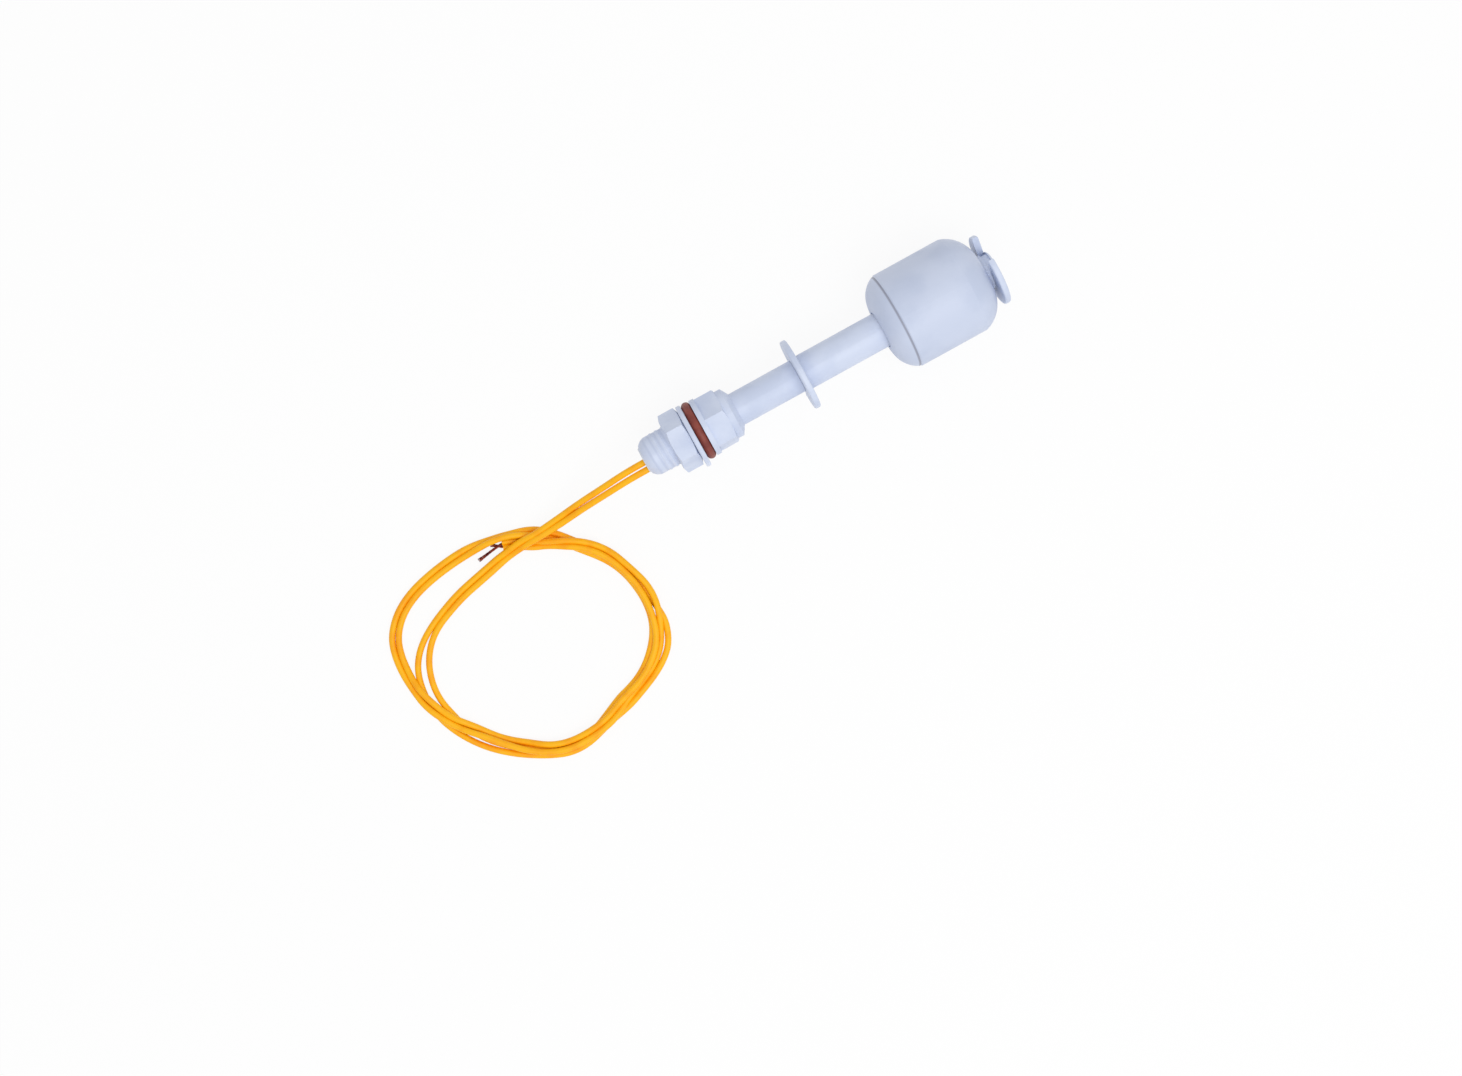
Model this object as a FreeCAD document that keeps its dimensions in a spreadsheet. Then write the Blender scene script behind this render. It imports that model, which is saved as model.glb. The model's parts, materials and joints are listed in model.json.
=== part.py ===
"""Float level switch: a reed switch sealed in a plastic stem, and a ring magnet in a float.

The stem lies along +X with its tip at the far end, and +Z is up. The origin is on the
stem's axis, in the face of the collar that the seal ring presses on. Lengths are in
millimetres and angles in degrees.
"""
import FreeCAD
import Part
import math
import os
import re
import Sketcher

Vector = FreeCAD.Vector

# The driving sizes: alias, value, meaning.
SIZES = (
    ("total_length", 75.0, "end of the potting to the tip of the stem"),
    ("shank_length", 12.6, "sealing face to the end of the potting"),
    ("shank_diameter", 7.7, "threaded shank, below the crests of its fine thread"),
    ("shank_nose_length", 1.5, "rounded end of the shank, along the axis"),
    ("shank_nose_radius", 3.15, "radius of that rounded end"),
    ("shank_nose_wall", 0.25, "flat rim between the nose and the potting"),
    ("potting_diameter", 5.2, "recess at the end of the shank, filled with resin"),
    ("potting_depth", 8.0, "depth of that recess from the end of the potting"),
    ("potting_crown", 0.3, "how far the resin stands out of the recess"),
    ("potting_slope", 0.18, "slope of the resin's crown, across the axis"),
    ("bore_diameter", 4.0, "blind bore of the stem"),
    ("tip_wall", 3.4, "solid plastic between the bore and the tip"),
    ("rim_diameter", 11.5, "round rim of the collar, beside the seal ring"),
    ("rim_length", 1.0, "length of that rim"),
    ("collar_flats", 10.0, "collar, across its flats"),
    ("collar_length", 4.0, "length of the collar's hexagon"),
    ("collar_twist", 11.0, "turn of the collar's hexagon about the axis"),
    ("collar_chamfer", 0.35, "chamfer of the collar's corners, along the axis"),
    ("chamfer_land", 0.05, "how far that chamfer stays off the collar's flats"),
    ("shoulder_diameter", 9.8, "round shoulder behind the hexagon"),
    ("shoulder_length", 1.2, "length of the shoulder"),
    ("shoulder_taper", 1.0, "length of the taper from the shoulder to the neck"),
    ("neck_diameter", 6.5, "stem between the collar and the stop clip"),
    ("stem_diameter", 6.9, "stem from the stop clip to the tip"),
    ("tip_rounding", 0.7, "rounded edge of the tip"),
    ("groove_diameter", 6.0, "bottom of the grooves that hold the clips"),
    ("groove_play", 0.05, "play of a clip in its groove, on each side"),
    ("clip_diameter", 14.2, "C-shaped clips, outside"),
    ("clip_thickness", 1.2, "thickness of a clip"),
    ("clip_play", 0.05, "gap between a clip and the bottom of its groove"),
    ("clip_mouth", 5.6, "width of a clip's mouth at its bore"),
    ("clip_flare", 6.6, "width of a clip's mouth at its rim"),
    ("clip_rounding", 0.35, "rounded outer edges of a clip"),
    ("stop_clip_place", 20.8, "middle of the stop clip, from the sealing face"),
    ("tip_land", 0.5, "stem that stands out past the end clip"),
    ("stop_clip_turn", 262.0, "direction of the stop clip's mouth, from +Y towards +Z"),
    ("end_clip_turn", 50.0, "direction of the end clip's mouth, from +Y towards +Z"),
    ("ring_section", 1.8, "section of the seal ring"),
    ("ring_diameter", 11.8, "seal ring, outside"),
    ("washer_diameter", 12.7, "flat washer, outside"),
    ("washer_bore", 8.8, "flat washer, inside"),
    ("washer_thickness", 0.95, "flat washer"),
    ("washer_rounding", 0.25, "rounded edges of the washer"),
    ("washer_drop", 0.45, "how far the loose washer lies off the axis"),
    ("nut_flats", 10.5, "hexagon nut, across its flats"),
    ("nut_thickness", 4.0, "hexagon nut"),
    ("nut_play", 0.05, "gap between the nut's bore and the shank"),
    ("nut_chamfer", 0.45, "chamfer of the nut's corners, along the axis"),
    ("nut_chamfer_depth", 0.35, "how far that chamfer reaches inside the nut's flats"),
    ("nut_twist", 24.0, "turn of the nut about the axis"),
    ("float_diameter", 19.2, "float, outside"),
    ("float_length", 21.9, "float, end to end"),
    ("float_gap", 0.8, "gap between the resting float and the end clip"),
    ("float_bore", 7.4, "bore of the float, which runs on the stem"),
    ("float_wall", 1.1, "wall of the float's shell"),
    ("sleeve_wall", 0.9, "wall of the float's inner sleeve"),
    ("crown_length", 4.5, "crowned end of the float, along the axis"),
    ("crown_face", 9.0, "flat middle of the crowned end, across"),
    ("crown_radius", 6.4, "radius of the crown's edge"),
    ("lid_length", 3.4, "float's lid, from its face to the seam"),
    ("lid_setback", 0.2, "how far the lid's edge lies inside the shell's"),
    ("lid_land", 0.25, "straight edge of the lid at the seam"),
    ("lid_face", 9.0, "flat middle of the lid, across"),
    ("lid_radius", 5.4, "radius of the lid's edge"),
    ("seam_chamfer", 0.2, "chamfer of the shell's edge at the seam"),
    ("lid_spigot", 1.6, "how far the lid's spigot reaches into the shell"),
    ("lid_shelf", 0.4, "thick edge of the lid behind the seam, along the axis"),
    ("lid_hollow", 0.5, "how far the lid's hollow is wider than its face"),
    ("fit_play", 0.03, "play between the lid's spigot and the shell"),
    ("magnet_diameter", 13.4, "ring magnet, outside"),
    ("magnet_length", 4.0, "ring magnet, along the axis"),
    ("magnet_play", 0.05, "play of the ring magnet on the sleeve and between its stops"),
    ("magnet_stop_wall", 0.9, "step of the sleeve that stops the magnet"),
    ("magnet_rounding", 0.2, "rounded edges of the magnet"),
    ("reed_room", 7.5, "from the far end of the reed capsule to the end of the bore"),
    ("reed_length", 14.0, "glass capsule, end to end"),
    ("reed_diameter", 2.2, "glass capsule, outside"),
    ("reed_wall", 0.3, "wall of the glass capsule"),
    ("reed_end_diameter", 1.2, "drawn-in ends of the glass capsule"),
    ("reed_seal", 1.8, "length of the sealed glass at each end"),
    ("reed_seal_slope", 0.4, "slope from the sealed glass to the capsule's wall"),
    ("reed_drop", 0.7, "capsule's axis below the stem's axis"),
    ("lead_diameter", 0.5, "round leads of the reed blades"),
    ("lead_length", 4.0, "lead outside the near end of the capsule"),
    ("lead_root", 0.3, "round lead inside the capsule, before its flat tongue"),
    ("lead_weld", 0.1, "how far a lead and its tongue run into each other"),
    ("far_lead_stub", 1.1, "straight lead outside the far end of the capsule"),
    ("far_lead_rise", 1.0, "length in which the far lead rises to its wire"),
    ("far_lead_grip", 1.4, "end of the far lead in its solder joint"),
    ("blade_width", 1.0, "flat part of a reed blade"),
    ("blade_thickness", 0.2, "flat part of a reed blade"),
    ("contact_overlap", 1.2, "how far the blades' tips overlap"),
    ("contact_gap", 0.06, "gap between the blades' tips"),
    ("joint_length", 2.8, "solder joint of a wire and a lead"),
    ("joint_diameter", 1.2, "solder joint, across"),
    ("joint_nose", 0.36, "tapered ends of a solder joint, along the axis"),
    ("joint_end_diameter", 0.72, "tapered ends of a solder joint, across"),
    ("insulator_length", 7.0, "sleeve over the near solder joint"),
    ("insulator_wall", 0.15, "wall of that sleeve"),
    ("insulator_play", 0.04, "gap between that sleeve and the wire"),
    ("wire_diameter", 1.25, "insulated wires"),
    ("core_diameter", 0.5, "bare copper strands at the wires' ends"),
    ("wire_height", 1.1, "long wire's axis above the stem's axis, beside the capsule"),
    ("wire_grip", 3.2, "straight start of each wire in the resin"),
    ("wire_rest", 12.0, "straight end of each wire in the bore, before its joint"),
    ("coil_height", 2.7, "height of the coil of wire that lies on the floor"),
)

# Places along the axis and derived sizes, as expressions of the driving sizes.
TIP = "(total_length - shank_length)"
BORE_END = f"({TIP} - tip_wall)"
RIM = "(-shank_length + potting_crown)"
RECESS_END = "(-shank_length + potting_depth)"
HEX_END = "(rim_length + collar_length)"
SHOULDER_END = f"({HEX_END} + shoulder_length)"
NECK_START = f"({SHOULDER_END} + shoulder_taper)"
END_CLIP_PLACE = f"({TIP} - tip_land - clip_thickness / 2)"
WASHER_FACE = "(-ring_section)"
NUT_FACE = "(-ring_section - washer_thickness)"
FLOAT_END = f"({END_CLIP_PLACE} - clip_thickness / 2 - float_gap)"
FLOAT_START = f"({FLOAT_END} - float_length)"
SEAM = f"({FLOAT_START} + lid_length)"
SLEEVE_RADIUS = "(float_bore / 2 + sleeve_wall)"
SPIGOT_END = f"({SEAM} + lid_spigot)"
MAGNET_START = f"({SPIGOT_END} + magnet_play)"
MAGNET_END = f"({MAGNET_START} + magnet_length)"
LID_RADIUS = "(float_diameter / 2 - lid_setback)"
REED_END = f"({BORE_END} - reed_room)"
REED_START = f"({REED_END} - reed_length)"
NEAR_JOINT = f"({REED_START} - lead_length - joint_length / 2)"
FAR_JOINT = f"({REED_END} + far_lead_stub)"

# The wires' routes outside the stem, from the potting to the coil, chosen by hand.
WIRE_A_RUN = (
    (-12.6, -0.3, 0.0), (-16.4, -0.3, 0.0), (-21.8, -0.75, -2.1),
    (-27.2, -1.12, -4.4), (-32.6, -1.45, -6.05), (-38.2, -2.1, -7.0),
)
WIRE_B_RUN = (
    (-12.6, -1.78, 0.0), (-16.2, -1.78, 0.0), (-22.0, -2.12, -2.3),
    (-27.4, -2.42, -4.3), (-32.8, -2.75, -6.0), (-38.4, -3.5, -6.95),
)
# The bare ends of the wires, from the coil to their tips.
CORE_A_RUN = ((-40.8, -0.75, -8.1), (-43.6, -1.0, -8.15), (-46.2, -1.1, -8.3), (-48.7, -1.4, -8.6))
CORE_B_RUN = ((-41.2, -2.2, -9.15), (-43.0, -1.35, -9.2), (-44.6, -0.6, -9.2), (-45.8, 0.2, -9.25))
# The wires inside the bore, from its mouth: how they come to lie one above the other.
WIRE_A_BORE = ((0.6, 0.0, -0.35), (7.6, 0.1, -0.6))
WIRE_B_BORE = ((0.6, -0.95, 0.6), (7.6, -0.25, 0.98), (19.6, 0.03, 1.1))
# The coil: the middle of its turns, and its outer and inner edges in a polar formula.
COIL_CENTRE = (-47.4, -19.9)
COIL_POINTS = 24
COIL_OUTER = ((23.3, 0, 0), (2.15, 2, -48), (0.75, 3, 15), (0.8, 4, 256))
COIL_INNER = ((18.9, 0, 0), (2.0, 1, -47), (1.85, 2, 4), (0.5, 4, -62))
# The slit between the two turns where they part: angles, middle radius and half width.
SLIT_POINTS = 9
SLIT_FROM = 62.0
SLIT_TO = 170.0
SLIT_RADIUS = 19.2
SLIT_GROWTH = 4.2
SLIT_HALF_WIDTH = 2.0

ALIASES = {alias for alias, value, meaning in SIZES}
HEXAGON_CORNERS = 6
# How far the outline of a cut reaches past the surface that it cuts.
CUT_ROOM = 0.1


def bound(text):
    """An expression of the document, from one that names the driving sizes alone."""
    return re.sub(r"[a-z_]+", lambda word: f"Sizes.{word.group()}" if word.group() in ALIASES
                  else word.group(), text)


def make_sheet(doc):
    """The spreadsheet of driving sizes: meaning in column A, value in column B."""
    sheet = doc.addObject("Spreadsheet::Sheet", "Sizes")
    for row, (alias, value, meaning) in enumerate(SIZES, start=1):
        sheet.set(f"A{row}", meaning)
        sheet.set(f"B{row}", str(value))
        sheet.setAlias(f"B{row}", alias)
    doc.recompute()
    return sheet


def size(doc, text):
    """The present value of an expression of the driving sizes."""
    return float(doc.Sizes.evalExpression(bound(text)))


def new_body(doc, node):
    body = doc.addObject("PartDesign::Body", node)
    body.Label = node
    return body


def new_sketch(body, name, plane, place=None):
    """An empty sketch on one of the body's own planes, moved along its normal to a place."""
    sketch = body.newObject("Sketcher::SketchObject", name)
    support = [feature for feature in body.Origin.OriginFeatures if feature.Role == plane][0]
    sketch.AttachmentSupport = [(support, "")]
    sketch.MapMode = "FlatFace"
    if place is not None:
        sketch.setExpression(".AttachmentOffset.Base.z", bound(place))
    return sketch


def add_arc(sketch, start, end, radius):
    """Draw an arc from start to end. A positive radius turns left, a negative one right.

    Returns the arc's number, and the numbers of its ends at start and at end.
    """
    chord = end - start
    left = Vector(-chord.y, chord.x, 0).normalize()
    reach = math.sqrt(max(radius ** 2 - (chord.Length / 2) ** 2, 0.0))
    centre = (start + end) * 0.5 + left * math.copysign(reach, radius)
    low, high = (start, end) if radius > 0 else (end, start)
    from_angle = math.atan2(low.y - centre.y, low.x - centre.x)
    to_angle = math.atan2(high.y - centre.y, high.x - centre.x)
    if to_angle < from_angle:
        to_angle += 2 * math.pi
    circle = Part.Circle(centre, Vector(0, 0, 1), abs(radius))
    arc = sketch.addGeometry(Part.ArcOfCircle(circle, from_angle, to_angle), False)
    return (arc, 1, 2) if radius > 0 else (arc, 2, 1)


def place_point(sketch, edge, end, corner, point):
    """Tie one end of an edge to its place: on an axis of the sketch, or at bound distances.

    A sketch numbers its own horizontal axis -1 and its vertical one -2, and its origin is
    point 1 of the horizontal axis.
    """
    for axis, text, value, line in (("X", corner[0], point.x, -2), ("Y", corner[1], point.y, -1)):
        if text == "0":
            sketch.addConstraint(Sketcher.Constraint("PointOnObject", edge, end, line))
        else:
            number = sketch.addConstraint(
                Sketcher.Constraint(f"Distance{axis}", -1, 1, edge, end, value))
            sketch.setExpression(f"Constraints[{number}]", bound(text))


def draw_outline(doc, sketch, corners):
    """A closed outline whose corners and arc radii are bound to the sheet.

    A corner is (x, y), or (x, y, radius) where the edge that leaves it is an arc.
    """
    points = [Vector(size(doc, corner[0]), size(doc, corner[1]), 0) for corner in corners]
    starts = []
    for index, corner in enumerate(corners):
        start = points[index]
        end = points[(index + 1) % len(points)]
        if len(corner) == 3:
            starts.append(add_arc(sketch, start, end, size(doc, corner[2])))
        else:
            edge = sketch.addGeometry(Part.LineSegment(start, end), False)
            starts.append((edge, 1, 2))
    for index, (edge, first, last) in enumerate(starts):
        following, following_first, unused = starts[(index + 1) % len(starts)]
        sketch.addConstraint(
            Sketcher.Constraint("Coincident", edge, last, following, following_first))
    for index, corner in enumerate(corners):
        edge, first, last = starts[index]
        place_point(sketch, edge, first, corner, points[index])
        if len(corner) == 3:
            number = sketch.addConstraint(
                Sketcher.Constraint("Radius", edge, abs(size(doc, corner[2]))))
            sketch.setExpression(f"Constraints[{number}]", bound(f"abs({corner[2]})"))


def turned(doc, body, name, corners, kind="PartDesign::Revolution"):
    """A revolution or a groove about the X axis, from a half section in X and Z."""
    sketch = new_sketch(body, f"{name}_section", "XZ_Plane")
    draw_outline(doc, sketch, corners)
    doc.recompute()
    before = body.Shape.Volume if not body.Shape.isNull() else 0.0
    feature = body.newObject(kind, name)
    feature.Profile = sketch
    feature.ReferenceAxis = (sketch, ["H_Axis"])
    feature.Angle = 360.0
    doc.recompute()
    change = body.Shape.Volume - before
    adds = kind.endswith("Revolution")
    if abs(change) < 1e-6 or (change > 0) != adds:
        raise RuntimeError(f"{name} changed the volume of {body.Label} by {change:.3f}")
    return feature


def padded(doc, body, name, corners, place, length):
    """A pad along +X of an outline in Y and Z, from a place on the axis."""
    sketch = new_sketch(body, f"{name}_outline", "YZ_Plane", place)
    draw_outline(doc, sketch, corners)
    doc.recompute()
    pad = body.newObject("PartDesign::Pad", name)
    pad.Profile = sketch
    pad.setExpression("Length", bound(length))
    doc.recompute()
    return pad


def hexagon(flats, twist):
    """The corners of a hexagon about the axis."""
    corner_radius = f"{flats} / 2 / cos(30 deg)"
    corners = []
    for number in range(HEXAGON_CORNERS):
        angle = f"({twist} + {number * 360 // HEXAGON_CORNERS}) * 1 deg"
        corners.append((f"{corner_radius} * sin({angle})", f"{corner_radius} * cos({angle})"))
    return corners


def drill(doc, body, name, corners):
    """Cut a turned hollow, such as a bore, out of a body."""
    return turned(doc, body, name, corners, "PartDesign::Groove")


def groove_corners(place, outside):
    """The section of a clip's groove: its play on each side, and its depth."""
    low = f"({place} - clip_thickness / 2 - groove_play)"
    high = f"({place} + clip_thickness / 2 + groove_play)"
    bottom = "groove_diameter / 2"
    return ((low, bottom), (high, bottom), (high, outside), (low, outside))


def make_stem_housing(doc):
    """The moulding that holds everything: shank, collar, neck and stem, with a blind bore."""
    body = new_body(doc, "stem_housing")
    turned(doc, body, "stem_form", (
        (RIM, "0"),
        (RIM, "potting_diameter / 2 + shank_nose_wall", "-shank_nose_radius"),
        (f"{RIM} + shank_nose_length", "shank_diameter / 2"),
        ("0", "shank_diameter / 2"),
        ("0", "rim_diameter / 2"),
        ("rim_length", "rim_diameter / 2"),
        ("rim_length", "collar_flats / 2"),
        (HEX_END, "collar_flats / 2"),
        (HEX_END, "shoulder_diameter / 2"),
        (SHOULDER_END, "shoulder_diameter / 2"),
        (NECK_START, "neck_diameter / 2"),
        ("stop_clip_place", "neck_diameter / 2"),
        ("stop_clip_place", "stem_diameter / 2"),
        (f"{TIP} - tip_rounding", "stem_diameter / 2", "-tip_rounding"),
        (TIP, "stem_diameter / 2 - tip_rounding"),
        (TIP, "0"),
    ))
    padded(doc, body, "collar_hexagon", hexagon("collar_flats", "collar_twist"),
           "rim_length", "collar_length")
    corner = f"(collar_flats / 2 / cos(30 deg) + {CUT_ROOM})"
    drill(doc, body, "corner_chamfer", (
        (f"{HEX_END} - collar_chamfer", corner),
        (HEX_END, "collar_flats / 2 + chamfer_land"),
        (HEX_END, corner),
    ))
    outside = f"(stem_diameter / 2 + {CUT_ROOM})"
    drill(doc, body, "stop_clip_groove", groove_corners("stop_clip_place", outside))
    drill(doc, body, "end_clip_groove", groove_corners(END_CLIP_PLACE, outside))
    drill(doc, body, "bore", (
        (RIM, "0"),
        (RIM, "potting_diameter / 2"),
        (RECESS_END, "potting_diameter / 2"),
        (RECESS_END, "bore_diameter / 2"),
        (BORE_END, "bore_diameter / 2"),
        (BORE_END, "0"),
    ))
    return body


def make_nut(doc):
    """The hexagon nut, with its corners chamfered on both faces."""
    body = new_body(doc, "hex_nut")
    outer_face = f"({NUT_FACE} - nut_thickness)"
    padded(doc, body, "nut_hexagon", hexagon("nut_flats", "nut_twist"), outer_face, "nut_thickness")
    tall = f"(nut_flats / 2 / cos(30 deg) + {CUT_ROOM})"
    low = "(nut_flats / 2 - nut_chamfer_depth)"
    drill(doc, body, "outer_chamfer", (
        (outer_face, low), (f"{outer_face} + nut_chamfer", tall), (outer_face, tall)))
    drill(doc, body, "inner_chamfer", (
        (NUT_FACE, low), (NUT_FACE, tall), (f"{NUT_FACE} - nut_chamfer", tall)))
    wall = "(shank_diameter / 2 + nut_play)"
    drill(doc, body, "nut_bore", (
        (outer_face, "0"), (outer_face, wall), (NUT_FACE, wall), (NUT_FACE, "0")))
    return body


def ring_section_corners(low, high, inner, outer, rounding):
    """The section of a flat ring whose four edges are rounded."""
    return (
        (f"{low} + {rounding}", inner),
        (f"{high} - {rounding}", inner, rounding),
        (high, f"{inner} + {rounding}"),
        (high, f"{outer} - {rounding}", rounding),
        (f"{high} - {rounding}", outer),
        (f"{low} + {rounding}", outer, rounding),
        (low, f"{outer} - {rounding}"),
        (low, f"{inner} + {rounding}", rounding),
    )


def make_washer(doc):
    """The flat washer. It is loose on the shank, so it lies a little off the axis."""
    body = new_body(doc, "flat_washer")
    turned(doc, body, "washer_form", ring_section_corners(
        NUT_FACE, WASHER_FACE, "washer_bore / 2", "washer_diameter / 2", "washer_rounding"))
    body.setExpression(".Placement.Base.y", bound("-washer_drop"))
    return body


def make_seal_ring(doc):
    """The rubber seal ring between the washer and the collar."""
    ring = doc.addObject("Part::Torus", "seal_ring")
    ring.Label = "seal_ring"
    ring.setExpression("Radius1", bound("(ring_diameter - ring_section) / 2"))
    ring.setExpression("Radius2", bound("ring_section / 2"))
    ring.Placement = FreeCAD.Placement(Vector(), FreeCAD.Rotation(Vector(0, 1, 0), 90))
    ring.setExpression(".Placement.Base.x", bound("-ring_section / 2"))
    return ring


def clip_outline(turn):
    """A C-shaped ring about the axis, whose mouth widens towards the rim."""
    inner = "(groove_diameter / 2 + clip_play)"
    outer = "clip_diameter / 2"
    inner_half = f"asin(clip_mouth / 2 / {inner})"
    outer_half = f"asin(clip_flare / 2 / ({outer}))"

    def corner(radius, half, side):
        angle = f"({turn} * 1 deg {side} {half})"
        return (f"{radius} * cos({angle})", f"{radius} * sin({angle})")

    first, second = corner(outer, outer_half, "+"), corner(outer, outer_half, "-")
    third, fourth = corner(inner, inner_half, "-"), corner(inner, inner_half, "+")
    return first, second, third, fourth, outer, inner


def make_clip(doc, node, place, turn):
    """A clip that snaps into a groove of the stem from the side."""
    body = new_body(doc, node)
    sketch = new_sketch(body, f"{node}_outline", "YZ_Plane", f"({place} - clip_thickness / 2)")
    rim_left, rim_right, bore_right, bore_left, outer, inner = clip_outline(turn)
    draw_clip(doc, sketch, (rim_left, rim_right, bore_right, bore_left), outer, inner)
    doc.recompute()
    pad = body.newObject("PartDesign::Pad", f"{node}_plate")
    pad.Profile = sketch
    pad.setExpression("Length", bound("clip_thickness"))
    doc.recompute()
    rim_edges = [f"Edge{number}" for number, edge in enumerate(pad.Shape.Edges, start=1)
                 if hasattr(edge.Curve, "Radius")
                 and abs(edge.Curve.Radius - size(doc, outer)) < 1e-4]
    fillet = body.newObject("PartDesign::Fillet", f"{node}_rim")
    fillet.Base = (pad, rim_edges)
    fillet.setExpression("Radius", bound("clip_rounding"))
    doc.recompute()
    return body


def draw_clip(doc, sketch, corners, outer, inner):
    """Draw a clip's outline: a long outer arc, a flank, the bore's arc and a flank."""
    rim_left, rim_right, bore_right, bore_left = [
        Vector(size(doc, corner[0]), size(doc, corner[1]), 0) for corner in corners]
    middle = (rim_left + rim_right).normalize()
    outer_arc = sketch.addGeometry(
        Part.Arc(rim_left, middle * -size(doc, outer), rim_right), False)
    flank_right = sketch.addGeometry(Part.LineSegment(rim_right, bore_right), False)
    inner_arc = sketch.addGeometry(
        Part.Arc(bore_left, middle * -size(doc, inner), bore_right), False)
    flank_left = sketch.addGeometry(Part.LineSegment(bore_left, rim_left), False)
    for first, first_end, second, second_end in (
            (outer_arc, 2, flank_right, 1), (flank_right, 2, inner_arc, 2),
            (inner_arc, 1, flank_left, 1), (flank_left, 2, outer_arc, 1)):
        sketch.addConstraint(
            Sketcher.Constraint("Coincident", first, first_end, second, second_end))
    for edge, end, corner, point in (
            (flank_right, 1, corners[1], rim_right), (flank_right, 2, corners[2], bore_right),
            (flank_left, 1, corners[3], bore_left), (flank_left, 2, corners[0], rim_left)):
        place_point(sketch, edge, end, corner, point)
    for arc, radius in ((outer_arc, outer), (inner_arc, inner)):
        number = sketch.addConstraint(Sketcher.Constraint("Radius", arc, size(doc, radius)))
        sketch.setExpression(f"Constraints[{number}]", bound(radius))


def make_float_cup(doc):
    """The float's shell: a crowned cup with an inner sleeve, in one moulding."""
    body = new_body(doc, "float_cup")
    turned(doc, body, "cup_form", (
        (f"{SEAM} + seam_chamfer", "float_diameter / 2"),
        (f"{FLOAT_END} - crown_length", "float_diameter / 2", "-crown_radius"),
        (FLOAT_END, "crown_face / 2"),
        (FLOAT_END, "float_bore / 2"),
        (f"{FLOAT_START} + float_wall + fit_play", "float_bore / 2"),
        (f"{FLOAT_START} + float_wall + fit_play", SLEEVE_RADIUS),
        (f"{MAGNET_END} + magnet_play", SLEEVE_RADIUS),
        (f"{MAGNET_END} + magnet_play", f"{SLEEVE_RADIUS} + magnet_stop_wall"),
        (f"{FLOAT_END} - float_wall", f"{SLEEVE_RADIUS} + magnet_stop_wall"),
        (f"{FLOAT_END} - crown_length", "float_diameter / 2 - float_wall"),
        (SEAM, "float_diameter / 2 - float_wall"),
        (SEAM, "float_diameter / 2 - seam_chamfer"),
    ))
    return body


def make_float_lid(doc):
    """The float's lid, with a spigot that locates it and a collar that stops the magnet."""
    body = new_body(doc, "float_lid")
    spigot = "(float_diameter / 2 - float_wall - fit_play)"
    turned(doc, body, "lid_form", (
        (FLOAT_START, "float_bore / 2"),
        (FLOAT_START, "lid_face / 2", "-lid_radius"),
        (f"{SEAM} - lid_land", LID_RADIUS),
        (SEAM, LID_RADIUS),
        (SEAM, spigot),
        (SPIGOT_END, spigot),
        (SPIGOT_END, f"{spigot} - float_wall"),
        (f"{SEAM} - lid_shelf", f"{spigot} - float_wall"),
        (f"{FLOAT_START} + float_wall", "lid_face / 2 + float_wall + lid_hollow"),
        (SPIGOT_END, f"{SLEEVE_RADIUS} + magnet_stop_wall"),
        (SPIGOT_END, f"{SLEEVE_RADIUS} + fit_play"),
        (f"{FLOAT_START} + float_wall", f"{SLEEVE_RADIUS} + fit_play"),
        (f"{FLOAT_START} + float_wall", "float_bore / 2"),
    ))
    return body


def make_magnet(doc):
    """The ring magnet, held on the sleeve between the lid's collar and the cup's step."""
    body = new_body(doc, "float_magnet")
    turned(doc, body, "magnet_form", ring_section_corners(
        MAGNET_START, MAGNET_END, f"({SLEEVE_RADIUS} + magnet_play)", "magnet_diameter / 2",
        "magnet_rounding"))
    return body


def make_reed_glass(doc):
    """The reed switch's glass capsule: a thin tube, sealed round a lead at each end."""
    body = new_body(doc, "reed_glass")
    radius = "reed_diameter / 2"
    turned(doc, body, "capsule_form", (
        (f"{REED_START} + reed_seal / 2", radius),
        (REED_START, "reed_end_diameter / 2"),
        (REED_START, "lead_diameter / 2"),
        (f"{REED_START} + reed_seal", "lead_diameter / 2"),
        (f"{REED_START} + reed_seal + reed_seal_slope", f"{radius} - reed_wall"),
        (f"{REED_END} - reed_seal - reed_seal_slope", f"{radius} - reed_wall"),
        (f"{REED_END} - reed_seal", "lead_diameter / 2"),
        (REED_END, "lead_diameter / 2"),
        (REED_END, "reed_end_diameter / 2"),
        (f"{REED_END} - reed_seal / 2", radius),
    ))
    body.setExpression(".Placement.Base.z", bound("-reed_drop"))
    return body


def pipe(points, radius, label):
    """A round tube along straight runs joined by tangent arcs, and its smallest arc."""
    corners = [Vector(*point) for point in points]
    edges = []
    start = corners[0]
    radii = []
    for before, corner, after in zip(corners, corners[1:], corners[2:]):
        back, ahead = (before - corner), (after - corner)
        reach = 0.45 * min(back.Length, ahead.Length)
        half_turn = (math.pi - back.getAngle(ahead)) / 2
        radii.append(reach / math.tan(half_turn))
        first = corner + back.normalize() * reach
        last = corner + ahead.normalize() * reach
        inward = (first + last) * 0.5 - corner
        to_centre = math.hypot(reach, radii[-1])
        middle = corner + inward.normalize() * (to_centre - radii[-1])
        edges.append(Part.LineSegment(start, first).toShape())
        edges.append(Part.Arc(first, middle, last).toShape())
        start = last
    edges.append(Part.LineSegment(start, corners[-1]).toShape())
    path = Part.Wire(edges)
    circle = Part.Wire(Part.makeCircle(radius, corners[0], corners[1] - corners[0]))
    solid = path.makePipeShell([circle], True, False)
    expected = math.pi * radius ** 2 * path.Length
    if abs(solid.Volume / expected - 1) > 0.01:
        raise RuntimeError(f"{label}: volume {solid.Volume:.3f}, section times length {expected:.3f}")
    print(f"{label}: length {path.Length:.1f}, smallest arc {min(radii):.1f}")
    return solid


def feature(doc, node, shape):
    piece = doc.addObject("Part::Feature", node)
    piece.Label = node
    piece.Shape = shape
    return piece


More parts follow.
